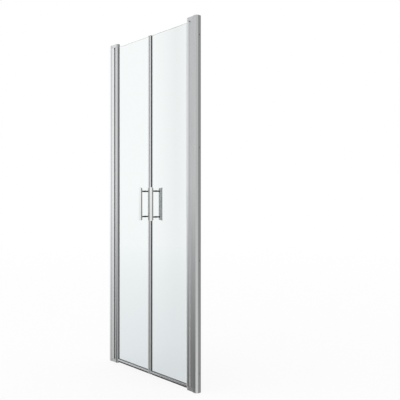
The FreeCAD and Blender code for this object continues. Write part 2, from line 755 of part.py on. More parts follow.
def handle_bar(name, near_y, far_y, broad_near):
    """Tapered grip bar, broad away from the glass, with a blind hole for each stud."""
    broad = ("dims.bar_width / 2", "dims.bar_length / 2")
    narrow = ("dims.bar_back_width / 2", "(dims.bar_length / 2 - dims.bar_back_inset)")
    first, second = (broad, narrow) if broad_near else (narrow, broad)
    body = doc.addObject("PartDesign::Body", name)
    wedge = body.newObject("PartDesign::AdditiveWedge", f"{name}_wedge")
    wedge.setExpression("Ymin", near_y)
    wedge.setExpression("Ymax", far_y)
    for tag, (half_x, half_z) in (("", first), ("2", second)):
        wedge.setExpression(f"X{tag}min", f"{HANDLE_X} - {half_x}")
        wedge.setExpression(f"X{tag}max", f"{HANDLE_X} + {half_x}")
        wedge.setExpression(f"Z{tag}min", f"dims.handle_height - {half_z}")
        wedge.setExpression(f"Z{tag}max", f"dims.handle_height + {half_z}")
    doc.recompute()
    fillet = body.newObject("PartDesign::Fillet", f"{name}_edges")
    fillet.Base = (wedge, all_edges(wedge))
    fillet.setExpression("Radius", "dims.bar_soft_edge")
    depth = "(dims.stud_bite + dims.stud_play)"
    mouth_y = f"{far_y} - {depth}" if broad_near else near_y
    for number, height in enumerate(STUD_HEIGHTS):
        bore(body, f"{name}_hole_{number}", STUD_BORE, (HANDLE_X, mouth_y, height), depth, ALONG_Y)
    return body


def handle_rings(name, diameter, inner_y, outer_y):
    """Four equal rings round the studs, two in front of the glass and two behind."""
    rings = []
    for number, height in enumerate(STUD_HEIGHTS):
        for side, span in (("front", (negative(outer_y), negative(inner_y))), ("back", (inner_y, outer_y))):
            rings.append(ring(f"{name}_{side}_{number}", diameter, STUD_BORE, HANDLE_X, span, height))
    return group(name, rings)


def handle_sleeves():
    """Soft sleeves that keep the studs off the glass."""
    diameter = "(dims.glass_hole - 2 * dims.sleeve_play)"
    return group("handle_sleeves", [
        ring(f"handle_sleeve_{number}", diameter, STUD_BORE, HANDLE_X, both(GLASS_Y), height)
        for number, height in enumerate(STUD_HEIGHTS)
    ])


def handle_studs():
    """Threaded studs that draw the two bars together through the glass."""
    span = both("(dims.bar_standoff + dims.stud_bite)")
    return group("handle_studs", [
        cross_rod(f"handle_stud_{number}", "dims.stud_diameter", HANDLE_X, span, height)
        for number, height in enumerate(STUD_HEIGHTS)
    ])


def build_jamb(sheet):
    """Every piece that stays on the wall."""
    head_z = (ARM_HIGH_Z, TOP_Z)
    foot_z = ("0", ARM_LOW_Z)
    seat_high_z = f"({TOP_Z} - dims.pin_head_height)"
    spigot_high_z = (f"{ARM_HIGH_Z} - dims.arm_spigot", ARM_HIGH_Z)
    spigot_low_z = (ARM_LOW_Z, f"({ARM_LOW_Z} + dims.arm_spigot)")
    pin_high_z = (f"({TUBE_HIGH_Z} - dims.pin_bite)", seat_high_z)
    pin_low_z = ("dims.pin_head_height", f"({TUBE_LOW_Z} + dims.pin_bite)")
    return [
        wall_channel(sheet),
        channel_top_plug(),
        adjusting_post(sheet),
        post_seal(),
        locking_screws(sheet),
        screw_caps(sheet),
        pivot_arm("top_pivot_arm", head_z, spigot_high_z, max, seat_high_z),
        pivot_arm("bottom_pivot_arm", foot_z, spigot_low_z, min, "0"),
        pivot_pin("top_pivot_pin", pin_high_z, (seat_high_z, TOP_Z)),
        pivot_pin("bottom_pivot_pin", pin_low_z, ("0", "dims.pin_head_height")),
        thrust_washer(),
    ]


def build_leaf():
    """Every piece that swings with the glass."""
    stand_y = (f"({GLASS_Y} + dims.disc_height)", "dims.bar_standoff")
    grip_y = ("dims.bar_standoff", "(dims.bar_standoff + dims.bar_thickness)")
    return [
        glass(),
        hinge_tube(),
        hinge_gasket(),
        tube_bush("top_bush", (f"{TUBE_HIGH_Z} - dims.bush_length", TUBE_HIGH_Z)),
        tube_bush("bottom_bush", (TUBE_LOW_Z, f"({TUBE_LOW_Z} + dims.bush_length)")),
        meeting_stile(),
        stile_caps(),
        magnetic_seal(),
        seal_magnet(),
        bottom_rail(),
        bottom_sweep(),
        glazing_gaskets(),
        handle_bar("handle_front_bar", negative(grip_y[1]), negative(grip_y[0]), True),
        handle_bar("handle_back_bar", grip_y[0], grip_y[1], False),
        handle_rings("handle_stands", "dims.stand_diameter", *stand_y),
        handle_rings("handle_washers", "dims.disc_diameter", GLASS_Y, stand_y[0]),
        handle_sleeves(),
        handle_studs(),
    ]


def mirror_image(item):
    """The left-hand twin of a right-hand piece."""
    twin = doc.addObject("Part::Mirroring", f"left_{item.Name}")
    twin.Source = item
    twin.Normal = FreeCAD.Vector(1, 0, 0)
    return twin


def check_and_write(pieces):
    """Refuse a faulty object, then write one file for each piece."""
    for item in doc.Objects:
        if {"Invalid", "Error"} & set(item.State):
            raise RuntimeError(f"{item.Name} is {item.State}")
    os.makedirs("parts", exist_ok=True)
    for item in pieces:
        if item.Shape.isNull() or not item.Shape.isValid():
            raise RuntimeError(f"{item.Label} has no valid shape")
        item.Shape.exportStep(f"parts/{item.Label}.step")


def main():
    sheet = fill_sheet()
    right = build_jamb(sheet) + build_leaf()
    left = [mirror_image(item) for item in right]
    for side, items in (("right", right), ("left", left)):
        for item, twin in zip(items, right):
            item.Label = f"{side}_{twin.Name}"
    doc.recompute()
    check_and_write(right + left)


main()
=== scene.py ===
import math

import bmesh
import bpy
from bpy.props import FloatProperty, FloatVectorProperty, IntProperty, PointerProperty
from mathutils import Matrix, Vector


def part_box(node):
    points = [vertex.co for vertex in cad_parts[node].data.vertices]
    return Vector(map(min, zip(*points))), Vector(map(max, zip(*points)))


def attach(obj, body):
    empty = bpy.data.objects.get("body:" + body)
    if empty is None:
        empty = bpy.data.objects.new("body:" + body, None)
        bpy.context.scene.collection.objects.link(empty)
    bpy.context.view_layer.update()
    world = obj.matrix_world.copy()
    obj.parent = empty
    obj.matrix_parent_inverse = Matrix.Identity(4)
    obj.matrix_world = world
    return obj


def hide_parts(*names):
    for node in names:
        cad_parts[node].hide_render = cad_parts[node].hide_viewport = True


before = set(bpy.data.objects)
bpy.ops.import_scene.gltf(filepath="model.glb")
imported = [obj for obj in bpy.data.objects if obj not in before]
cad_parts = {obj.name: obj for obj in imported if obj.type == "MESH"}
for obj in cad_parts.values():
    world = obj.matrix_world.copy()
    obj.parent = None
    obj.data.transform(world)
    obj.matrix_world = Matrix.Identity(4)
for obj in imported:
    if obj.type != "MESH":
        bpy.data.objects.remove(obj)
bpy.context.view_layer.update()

bl_info = {
    "name": "Twin-leaf shower door",
    "version": (1, 0, 0),
    "blender": (4, 5, 0),
    "location": "View3D > Sidebar > Shower door",
    "description": "Finishes, seals and studio of a twin-leaf hinged shower door",
    "category": "Object",
}

MM = 0.001
SIDES = {"right": 1, "left": -1}

# The camera looks level into a square picture.
PHOTO_PIXELS = 400
SENSOR_MM = 36.0
LEVEL = math.radians(90)

# The room that metal and glass mirror, as a bearing in degrees from +X and a tone. It is white on
# the left and behind the door, and grey on the camera's side and on the right. A narrow dark stretch
# between the two greys the right-hand pane.
WALLS = (
    (-180, 1.0), (-141.4, 1.0), (-138.8, 0.05), (-137.6, 0.6), (-135, 0.72), (-110, 0.8),
    (-45, 0.54), (-10, 0.34), (45, 0.28), (110, 0.2), (130, 1.0), (180, 1.0),
)
# The same for the room's floor, which is darker apart from a light stretch towards the camera.
ROOM_FLOOR = (
    (-180, 1.0), (-142.4, 0.52), (-138, 0.13), (-137, 0.11), (-53, 0.11), (-49, 0.72),
    (-45, 0.72), (-41, 0.3), (45, 0.28), (110, 0.2), (130, 1.0), (180, 1.0),
)
FULL_TURN = 360
FIRST_BEARING = -180
# How far a mirrored ray rises where that floor begins to give way to the walls, and where it ends.
HORIZON = (-0.29, 0.02)
# Light Path counts a ray's mirrorings, so a count above this one is a mirrored ray.
MIRRORED = 0.5
STUDIO_HALF = 20.0
FLOOR_DROP = 1 * MM
LAMP_AIM = Vector((0, 0, 1))

# Patterns: the part of its range that a noise texture fills, and how dark its low side is drawn.
NOISE_SPAN = (0.3, 0.7)
STREAK_SHADE = 0.94
GRAIN_SHADE = 0.9
# Die lines run this many times as far as they are wide.
STREAK_LENGTH = 120
# Spacing of the faint waves that the furnace rollers leave in toughened glass.
ROLLER_WAVE = 300 * MM

MERGE_DISTANCE = 1e-6
SHARP_ANGLE = math.radians(40)
ROUNDING_STEPS = 3
CORNER_STEPS = 8

# Sections of the soft strips, in millimetres.
# Foot of the magnetic seal and the sweep, from its middle to its side.
FOOT_HALF = 2.3
# Edge of a bead or lip where it lies on the glass.
EDGE_ON_GLASS = 0.6
# Post seal: play at the bottom of its groove, foot, and one lip as shares of the reach towards the
# tube with the distance in from the strip's side. The throat is the hollow between the lips.
SEAL_PLAY = 0.1
SEAL_FOOT_HALF = 1.8
SEAL_LIP = ((0.0, 0.1), (0.2, 0.2), (0.55, 0.9), (0.98, 0.3), (0.92, 1.3), (0.55, 1.9))
SEAL_THROAT_REACH = 0.2
SEAL_THROAT_HALF = 1.0
# Hinge gasket: slope of its lips, their overlap on the slot, and how closely they follow the tube.
HINGE_SLOPE = 2.5
HINGE_OVERLAP = 0.4
HINGE_PLAY = 0.1
HINGE_GAP = 0.02
# Magnetic seal: the slanted corner where it meets its twin.
NOSE_LENGTH = 0.5
NOSE_DEPTH = 0.9
# Sweep: thickness under the rail, and both sides of its lip as a place and a depth below the rail.
SWEEP_FLANGE = 2.0
SWEEP_FRONT = ((-3.2, 3.4), (-2.6, 6.0))
SWEEP_TIP = (-1.6, -0.4)
SWEEP_BACK = ((0.2, 6.0), (1.8, 3.4))
# Shares of the usual rounding on the gaskets' finer edges and on the moulded corner.
FINE_EDGE = 0.5
CORNER_EDGE = 0.2


def linear(code, alpha=1.0):
    """An sRGB hex colour as linear red, green, blue and alpha."""
    parts = [int(code[i:i + 2], 16) / 255 for i in (0, 2, 4)]
    return [c / 12.92 if c <= 0.04045 else ((c + 0.055) / 1.055) ** 2.4 for c in parts] + [alpha]


PLAIN_WHITE = linear("FFFFFF")


def colour(name, description, code):
    return FloatVectorProperty(
        name=name, description=description, subtype="COLOR", size=4, min=0, max=1,
        default=linear(code),
    )


def length(name, description, size):
    return FloatProperty(
        name=name, description=description, subtype="DISTANCE", unit="LENGTH", default=size)


def millimetres(name, description, size):
    return length(name, description, size * MM)


def place(name, description, spot):
    return FloatVectorProperty(
        name=name, description=description, subtype="TRANSLATION", unit="LENGTH", default=spot)


class DoorFinish(bpy.types.PropertyGroup):
    """Colours of the door's materials."""

    aluminium: colour("Aluminium", "Satin anodised profiles", "F1F2F3")
    casting: colour("Casting", "Die-cast pivot arms", "E8E9EA")
    handle: colour("Handle", "Polished pull bars", "F8F8F8")
    stand: colour("Stand-offs", "Dark plated handle stand-offs", "505254")
    steel: colour("Steel", "Pins, screws and studs", "A9ABAD")
    glass: colour("Glass", "Surface colour of the panes", "FCFEFE")
    glass_depth: colour("Glass depth", "Colour that thick glass turns to", "C6DEDC")
    gasket: colour("Gasket", "Post seals, glazing and hinge gaskets", "626467")
    sweep: colour("Sweep", "Bottom sweeps", "36383B")
    seal: colour("Seal", "Half-clear closing seals", "ACAFB1")
    plastic: colour("Grey plastic", "Moulded caps and plugs", "3C3E40")
    nylon: colour("Pale nylon", "Bushes, sleeves and washers", "DDDDD9")
    magnet: colour("Magnet", "Ferrite-filled strip", "2A2827")


class DoorSizes(bpy.types.PropertyGroup):
    """Sizes of the soft strips and the turned tube."""

    tube_wall: millimetres("Tube wall", "Wall of the hinge tube at its slot", 1.8)
    slot: millimetres("Slot", "Width of the slot for the glass", 7.8)
    tube_steps: IntProperty(
        name="Tube steps", description="Facets round the hinge tube", default=96, min=24)
    lip: millimetres("Lip", "Rounding on the edges of the soft strips", 0.35)
    bead: millimetres("Bead", "Width of the stile's glazing strip on the glass", 1.6)
    flange: millimetres("Flange", "Thickness of that strip on the metal", 1.0)
    rail_bead: millimetres("Rail bead", "Height of the rail's glazing strip on the glass", 3.6)
    rail_flange: millimetres("Rail flange", "Thickness of that strip on the metal", 2.6)
    corner: millimetres("Corner", "Reach of the glazing strip's moulded corner", 10.0)
    die_line: millimetres("Die line", "Spacing of the streaks along the profiles", 5.0)


class DoorStage(bpy.types.PropertyGroup):
    """Camera, light and floor."""

    turn: FloatProperty(
        name="Turn", description="Camera's angle round the door", subtype="ANGLE",
        default=math.radians(46.637))
    eye: place("Eye", "Camera's place", (2.4135, -1.8934, 0.9956))
    focal_pixels: FloatProperty(
        name="Focal length", description="In pixels of the square image", default=536.3)
    ambient: FloatProperty(
        name="Ambient", description="Strength of the surrounding light", default=0.85)
    key: FloatProperty(
        name="Key light", description="Power of the soft lamp", unit="POWER", default=20.0)
    key_size: length("Key size", "Side of the soft lamp", 2.5)
    key_place: place("Key place", "Where the soft lamp hangs", (-1.5, -2.5, 3.2))
    floor: colour("Floor", "Pale studio floor", "F9F9F9")
    # Painted shade: the darker tone of the floor seen through the glass, at the door.
    near_floor_painted_shade: colour("Near floor", "Floor behind the glass, at the door", "E9ECEF")
    white_floor: FloatProperty(
        name="White floor", description="Share of plain white on the floor, at the door",
        subtype="FACTOR", default=0.82)
    clear_reach: length("Clear reach", "How far off that floor turns white", 9.0)


def add_node(tree, kind, settings=None, inputs=None):
    """Add one shader node. An input is a value, or an output socket to link from."""
    node = tree.nodes.new(kind)
    for name, value in (settings or {}).items():
        setattr(node, name, value)
    for name, value in (inputs or {}).items():
        if isinstance(value, bpy.types.NodeSocket):
            tree.links.new(value, node.inputs[name])
        else:
            node.inputs[name].default_value = value
    return node


def new_material(name):
    """An empty node material with its output and the object's own coordinates."""
    material = bpy.data.materials.new(name)
    material.use_nodes = True
    tree = material.node_tree
    tree.nodes.clear()
    output = add_node(tree, "ShaderNodeOutputMaterial")
    spot = add_node(tree, "ShaderNodeTexCoord").outputs["Object"]
    return material, tree, output, spot


def patterned_surface(name, pattern, tint, shade, roughness, metallic, depth, strength):
    """A surface whose colour, roughness and relief follow one noise, scaled by the pattern."""
    material, tree, output, spot = new_material(name)
    mapped = add_node(tree, "ShaderNodeMapping", inputs={
        "Vector": spot, "Scale": pattern["stretch"]})
    noise = add_node(tree, "ShaderNodeTexNoise", inputs={
        "Vector": mapped.outputs["Vector"], "Scale": 1.0,
        "Detail": pattern["detail"], "Roughness": pattern["roughness"]})
    low, high = roughness
    dull = add_node(tree, "ShaderNodeMapRange", inputs={
        "Value": noise.outputs["Fac"], "From Min": NOISE_SPAN[0], "From Max": NOISE_SPAN[1],
        "To Min": low, "To Max": high})
    tone = add_node(tree, "ShaderNodeMix", {"data_type": "RGBA"}, {
        "Factor": noise.outputs["Fac"], "A": [c * shade for c in tint[:3]] + [1], "B": list(tint)})
    bump = add_node(tree, "ShaderNodeBump", inputs={
        "Height": noise.outputs["Fac"], "Strength": strength, "Distance": depth})
    surface = add_node(tree, "ShaderNodeBsdfPrincipled", inputs={
        "Base Color": tone.outputs["Result"], "Metallic": metallic,
        "Roughness": dull.outputs["Result"], "Normal": bump.outputs["Normal"]})
    tree.links.new(surface.outputs["BSDF"], output.inputs["Surface"])
    return material


def streaked_metal(name, tint, along, streak, roughness, depth):
    """Metal with fine lines along one axis, as drawn through a die or brushed."""
    across = 1 / streak
    stretch = [across / STREAK_LENGTH if axis == along else across for axis in "XYZ"]
    pattern = {"stretch": stretch, "detail": 3.0, "roughness": 0.6}
    return patterned_surface(
        name, pattern, tint, STREAK_SHADE, roughness, metallic=1.0, depth=depth, strength=0.05)


def grained_surface(name, tint, grit, roughness, depth, strength, metallic=0.0):
    """Moulded or cast surface with a fine pebble grain."""
    pattern = {"stretch": [1 / grit] * 3, "detail": 4.0, "roughness": 0.55}
    return patterned_surface(
        name, pattern, tint, GRAIN_SHADE, roughness, metallic, depth, strength)


def toughened_glass(finish):
    """Clear float glass: flat and polished, a slight roller wave, green through its edge."""
    material, tree, output, spot = new_material("clear_toughened_glass")
    wave = add_node(tree, "ShaderNodeTexNoise", inputs={
        "Vector": spot, "Scale": 1 / ROLLER_WAVE, "Detail": 0.0})
    bump = add_node(tree, "ShaderNodeBump", inputs={
        "Height": wave.outputs["Fac"], "Strength": 0.1, "Distance": 0.05 * MM})
    pane = add_node(tree, "ShaderNodeBsdfPrincipled", inputs={
        "Base Color": list(finish.glass), "Roughness": 0.0, "IOR": 1.52,
        "Transmission Weight": 1.0, "Normal": bump.outputs["Normal"]})
    depth = add_node(tree, "ShaderNodeVolumeAbsorption", inputs={
        "Color": list(finish.glass_depth), "Density": 20.0})
    tree.links.new(pane.outputs["BSDF"], output.inputs["Surface"])
    tree.links.new(depth.outputs["Volume"], output.inputs["Volume"])
    return material


def ray_kinds(tree):
    """Light Path, with the rays that see a thing straight or through glass, and mirrored rays."""
    path = add_node(tree, "ShaderNodeLightPath").outputs
    seen = add_node(tree, "ShaderNodeMath", {"operation": "MAXIMUM"}, {
        0: path["Is Camera Ray"], 1: path["Is Transmission Ray"]})
    mirrored_ray = add_node(tree, "ShaderNodeMath", {"operation": "GREATER_THAN"}, {
        0: path["Glossy Depth"], 1: MIRRORED})
    return path, seen.outputs["Value"], mirrored_ray.outputs["Value"]


def dress(material, *names):
    """Give CAD nodes of both sides a material."""
    for side in SIDES:
        for name in names:
            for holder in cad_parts[f"{side}_{name}"].material_slots:
                holder.material = material


def corners(node):
    """Lowest and highest corner of a right-hand CAD node, in millimetres."""
    low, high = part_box(f"right_{node}")
    return low / MM, high / MM


def finish_piece(bm, name, side, node, body, material):
    """Turn a bmesh into an object that stands for a CAD node and moves with its body."""
    bmesh.ops.remove_doubles(bm, verts=bm.verts[:], dist=MERGE_DISTANCE)
    mesh = bpy.data.meshes.new(name)
    for face in bm.faces:
        face.smooth = True
    bm.to_mesh(mesh)
    bm.free()
    mesh.set_sharp_from_angle(angle=SHARP_ANGLE)
    piece = bpy.data.objects.new(name, mesh)
    bpy.context.scene.collection.objects.link(piece)
    mesh.materials.append(material)
    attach(piece, body)
    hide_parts(f"{side}_{node}")
    return piece


def add_strip(bm, section, along, low, high, rounding):
    """Extrude a section, in millimetres, along one axis and round its long edges."""
    axis = "XYZ".index(along)
    ends = []
    for level in (low, high):
        ring = []
        for spot in section:
            corner = list(spot)
            corner.insert(axis, level)
            ring.append(bm.verts.new(Vector(corner) * MM))
        ends.append(ring)
        bm.faces.new(ring)
    first, last = ends
    for i in range(len(section)):
        bm.faces.new((first[i - 1], first[i], last[i], last[i - 1]))
    long_edges = [bm.edges.get(pair) for pair in zip(first, last)]
    bmesh.ops.bevel(
        bm, geom=long_edges, offset=rounding, offset_type="OFFSET", affect="EDGES",
        segments=ROUNDING_STEPS, profile=0.5, material=-1, clamp_overlap=True,
    )
    bmesh.ops.recalc_face_normals(bm, faces=bm.faces[:])


def mirrored(section, sign):
    return [(sign * x, y) for x, y in section]


def both_halves(upper):
    """Close a section that is the same on both sides of the glass plane."""
    return upper + [(x, -y) for x, y in reversed(upper)]


class DOOR_OT_profiles(bpy.types.Operator):
    """Finish the extruded jambs, stiles and rails"""

    bl_idname = "door.profiles"
    bl_label = "Profiles"

    def execute(self, context):
        tint = context.scene.door_finish.aluminium
        streak = context.scene.door_sizes.die_line
        # Anodised extrusion: satin silver, faint die lines along its length. The real lines are
        # under a millimetre apart, so they are drawn coarser here to show at all.
        upright = streaked_metal(
            "satin_anodised_aluminium_upright", tint, "Z", streak, (0.12, 0.17), 0.02 * MM)
        level = streaked_metal(
            "satin_anodised_aluminium_level", tint, "X", streak, (0.12, 0.17), 0.02 * MM)
        dress(upright, "wall_channel", "adjusting_post", "meeting_stile")
        dress(level, "bottom_rail")
        return {"FINISHED"}


class DOOR_OT_hinge_tubes(bpy.types.Operator):
    """Model the round slotted tubes that carry the glass"""

    bl_idname = "door.hinge_tubes"
    bl_label = "Hinge tubes"

    def execute(self, context):
        tint = context.scene.door_finish.aluminium
        sizes = context.scene.door_sizes
        # Anodised tube: the same satin silver as the jambs, a little softer in its shine.
        material = streaked_metal(
            "satin_anodised_aluminium_tube", tint, "Z", sizes.die_line, (0.15, 0.2), 0.02 * MM)
        low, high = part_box("right_hinge_tube")
        radius = high.y
        slot_half = sizes.slot / 2
        slot_angle = math.asin(slot_half / radius)
        for side, sign in SIDES.items():
            axis = Vector((sign * (high.x - radius), 0, low.z))
            towards_glass = -sign
            bm = bmesh.new()
            edge = bm.verts.new(axis + Vector((
                towards_glass * radius * math.cos(slot_angle), slot_half, 0)))
            bmesh.ops.spin(
                bm, geom=[edge], cent=axis, axis=(0, 0, 1), steps=sizes.tube_steps,
                angle=towards_glass * (2 * math.pi - 2 * slot_angle), use_duplicate=False)
            grown = bmesh.ops.extrude_edge_only(bm, edges=bm.edges[:])["geom"]
            top = [item for item in grown if isinstance(item, bmesh.types.BMVert)]
            bmesh.ops.translate(bm, verts=top, vec=(0, 0, high.z - low.z))
            bmesh.ops.recalc_face_normals(bm, faces=bm.faces[:])
            face = bm.faces[:][0]
            outward = face.calc_center_median() - axis
            outward.z = 0
            if face.normal.dot(outward) < 0:
                bmesh.ops.reverse_faces(bm, faces=bm.faces[:])
            bmesh.ops.solidify(bm, geom=bm.faces[:], thickness=sizes.tube_wall)
            finish_piece(
                bm, f"{side}_hinge_tube_turned", side, "hinge_tube", f"leaf_{side}",
                material)
        return {"FINISHED"}


class DOOR_OT_pivots(bpy.types.Operator):
    """Finish the cast pivot arms, their pins and the moulded end pieces"""

    bl_idname = "door.pivots"
    bl_label = "Pivots"

    def execute(self, context):
        finish = context.scene.door_finish
        # Die-cast zinc, satin plated: slightly pebbled, softer shine than the profiles.
        casting = grained_surface(
            "satin_die_casting", finish.casting, grit=2.0 * MM, roughness=(0.2, 0.28),
            depth=0.02 * MM, strength=0.1, metallic=1.0)
        dress(casting, "top_pivot_arm", "bottom_pivot_arm")
        # Turned steel: bright rings from the lathe.
        steel = streaked_metal(
            "turned_steel", finish.steel, "Y", 1.0 * MM, (0.2, 0.32), 0.01 * MM)
        dress(steel, "top_pivot_pin", "bottom_pivot_pin", "locking_screws", "handle_studs")
        # Moulded ABS: matt grey with a spark-eroded grain.
        plastic = grained_surface(
            "moulded_grey_abs", finish.plastic, grit=1.2 * MM, roughness=(0.5, 0.65),
            depth=0.05 * MM, strength=0.3)
        dress(plastic, "channel_top_plug", "stile_caps", "screw_caps", "handle_washers")
        # Nylon: pale and slightly waxy.
        nylon = grained_surface(
            "pale_nylon", finish.nylon, grit=1.5 * MM, roughness=(0.35, 0.5),
            depth=0.03 * MM, strength=0.2)
        dress(nylon, "top_bush", "bottom_bush", "thrust_washer", "handle_sleeves")
        # Ferrite-filled rubber: black and dull.
        magnet = grained_surface(
            "ferrite_strip", finish.magnet, grit=0.8 * MM, roughness=(0.7, 0.85),
            depth=0.04 * MM, strength=0.3)
        dress(magnet, "seal_magnet")
        return {"FINISHED"}


class DOOR_OT_glass(bpy.types.Operator):
    """Glaze the two leaves"""

    bl_idname = "door.glass"
    bl_label = "Glass"

    def execute(self, context):
        dress(toughened_glass(context.scene.door_finish), "glass")
        return {"FINISHED"}


class DOOR_OT_seals(bpy.types.Operator):
    """Model the soft strips: post seals, gaskets, magnetic seals and sweeps"""

    bl_idname = "door.seals"
    bl_label = "Seals"

    def execute(self, context):
        finish = context.scene.door_finish
        sizes = context.scene.door_sizes
        # Grey PVC: extruded, matt, with hardly any shine. The sweep is a darker mix of it.
        grey = grained_surface(
            "grey_pvc_gasket", finish.gasket, grit=2.5 * MM, roughness=(0.75, 0.9),
            depth=0.03 * MM, strength=0.25)
        dark = grained_surface(
            "dark_pvc_sweep", finish.sweep, grit=2.5 * MM, roughness=(0.75, 0.9),
            depth=0.03 * MM, strength=0.25)
        # Frosted PVC: pale grey, soft, with a faint sheen.
        pale = grained_surface(
            "frosted_pvc_seal", finish.seal, grit=2.5 * MM, roughness=(0.35, 0.5),
            depth=0.03 * MM, strength=0.2)
        for side, sign in SIDES.items():
            self.post_seal(side, sign, sizes, grey)
            self.hinge_gasket(side, sign, sizes, grey)
            self.glazing_gaskets(side, sign, sizes, grey)
            self.magnetic_seal(side, sign, sizes, pale)
            self.bottom_sweep(side, sign, sizes, dark)
        return {"FINISHED"}

    def post_seal(self, side, sign, sizes, material):
        """A foot in the post's groove and two lips that follow the tube."""
        low, high = corners("post_seal")
        face = corners("adjusting_post")[0].x
        reach = face - low.x
        foot = [(high.x - SEAL_PLAY, SEAL_FOOT_HALF), (face, SEAL_FOOT_HALF)]
        lip = [(face - share * reach, high.y - inset) for share, inset in SEAL_LIP]
        throat = (face - SEAL_THROAT_REACH * reach, SEAL_THROAT_HALF)
        section = both_halves([*foot, *lip, throat])
        bm = bmesh.new()
        add_strip(bm, mirrored(section, sign), "Z", low.z, high.z, sizes.lip)
        finish_piece(
            bm, f"{side}_post_seal_lips", side, "post_seal", "frame", material)

    def hinge_gasket(self, side, sign, sizes, material):
        """A U strip in the slot, with lips that lean on the glass and cover the slot's mouth."""
        low, high = corners("hinge_gasket")
        glass = corners("glass")[1]
        tube_low, tube_high = corners("hinge_tube")
        radius = tube_high.y
        slot = sizes.slot / MM / 2
        rounding = sizes.lip * FINE_EDGE
        section = both_halves([
            (high.x, slot), (tube_low.x, slot), (tube_low.x, glass.y), (glass.x, glass.y)])
        bm = bmesh.new()
        add_strip(bm, mirrored(section, sign), "Z", low.z, high.z, rounding)
        foot = corners("bottom_rail")[1].z + sizes.rail_bead / MM
        seat = [
            (tube_low.x + radius - math.sqrt(radius**2 - y**2) - HINGE_GAP, y)
            for y in (high.y - HINGE_PLAY, (high.y + slot) / 2, slot)
        ]
        wedge = [
            (tube_low.x, glass.y), (low.x, glass.y), (low.x, glass.y + EDGE_ON_GLASS),
            (low.x + HINGE_SLOPE, slot + HINGE_OVERLAP), *seat,
        ]
        for face in (1, -1):
            outline = [(sign * x, face * y) for x, y in wedge]
            add_strip(bm, outline, "Z", foot, high.z, rounding)
        finish_piece(
            bm, f"{side}_hinge_gasket_lips", side, "hinge_gasket", f"leaf_{side}",
            material)

    def glazing_gaskets(self, side, sign, sizes, material):
        """Strips in stile and rail with a bead on the room side, joined by a rounded corner."""
        low, high = corners("glazing_gaskets")
        stile = corners("meeting_stile")[1].x
        rail = corners("bottom_rail")[1].z
        glass_low, glass_high = corners("glass")
        stile_flange = sizes.flange / MM
        rail_bead = sizes.rail_bead / MM
        corner = sizes.corner / MM
        face = glass_high.y
        rounding = sizes.lip * FINE_EDGE

        def outline(floor, edge, lip, flange, bead):
            """Leg, flange and bead on the room side, then round the glass to the other leg."""
            return [
                (floor, -high.y), (lip, -high.y), (lip, low.y), (lip + flange, low.y),
                (lip + bead, -face - EDGE_ON_GLASS), (lip + bead, -face), (edge, -face),
                (edge, face), (lip, face), (lip, high.y), (floor, high.y),
            ]

        upright = outline(low.x, glass_low.x, stile, stile_flange, sizes.bead / MM)
        lying = outline(low.z, glass_low.z, rail, sizes.rail_flange / MM, rail_bead)
        level = [(across, along) for along, across in lying]
        start, end = sorted((sign * stile, sign * high.x))
        radius = corner - stile_flange
        turns = [math.pi / 2 * step / CORNER_STEPS for step in range(CORNER_STEPS + 1)]
        arc = [
            (stile + corner - radius * math.sin(turn), rail + corner - radius * math.cos(turn))
            for turn in turns
        ]
        web = [(stile, rail + corner), (stile, rail), (stile + corner, rail), *arc]
        bm = bmesh.new()
        add_strip(bm, mirrored(upright, sign), "Z", rail + rail_bead, high.z, rounding)
        add_strip(bm, level, "X", start, end, rounding)
        add_strip(bm, mirrored(web, sign), "Y", low.y, -face, sizes.lip * CORNER_EDGE)
        finish_piece(
            bm, f"{side}_glazing_beads", side, "glazing_gaskets", f"leaf_{side}",
            material)

    def magnetic_seal(self, side, sign, sizes, material):
        """A soft closing strip, rounded where it meets its twin."""
        low, high = corners("magnetic_seal")
        seat = corners("meeting_stile")[0].x
        section = both_halves([
            (high.x, FOOT_HALF), (seat, FOOT_HALF), (seat, high.y),
            (low.x + NOSE_LENGTH, high.y), (low.x, high.y - NOSE_DEPTH)])
        bm = bmesh.new()
        add_strip(bm, mirrored(section, sign), "Z", low.z, high.z, sizes.lip)
        finish_piece(
            bm, f"{side}_magnetic_seal_strip", side, "magnetic_seal", f"leaf_{side}",
            material)

    def bottom_sweep(self, side, sign, sizes, material):
        """A flange under the rail and a lip that leans towards the tray."""
        low, high = corners("bottom_sweep")
        rail = corners("bottom_rail")[0].z
        under = rail - SWEEP_FLANGE
        section = [
            (-FOOT_HALF, high.z), (-FOOT_HALF, rail), (low.y, rail), (low.y, under),
            *[(across, rail - depth) for across, depth in SWEEP_FRONT],
            *[(across, low.z) for across in SWEEP_TIP],
            *[(across, rail - depth) for across, depth in SWEEP_BACK],
            (high.y, under), (high.y, rail), (FOOT_HALF, rail), (FOOT_HALF, high.z),
        ]
        start, end = sorted((sign * low.x, sign * high.x))
        bm = bmesh.new()
        add_strip(bm, section, "X", start, end, sizes.lip)
        finish_piece(
            bm, f"{side}_bottom_sweep_lip", side, "bottom_sweep", f"leaf_{side}",
            material)


class DOOR_OT_handles(bpy.types.Operator):
    """Finish the pull bars and their stand-offs"""

    bl_idname = "door.handles"
    bl_label = "Handles"

    def execute(self, context):
        finish = context.scene.door_finish
        # Dark plating on the turned stand-offs, duller than the bars.
        stand = streaked_metal(
            "dark_plated_stand", finish.stand, "Y", 1.0 * MM, (0.25, 0.35), 0.01 * MM)
        dress(stand, "handle_stands")
        # Polished and plated: bright, with hairline wiping marks along the bar.
        bar = streaked_metal(
            "polished_plated_bar", finish.handle, "Z", 3.0 * MM, (0.06, 0.12), 0.005 * MM)
        dress(bar, "handle_front_bar", "handle_back_bar")
        return {"FINISHED"}


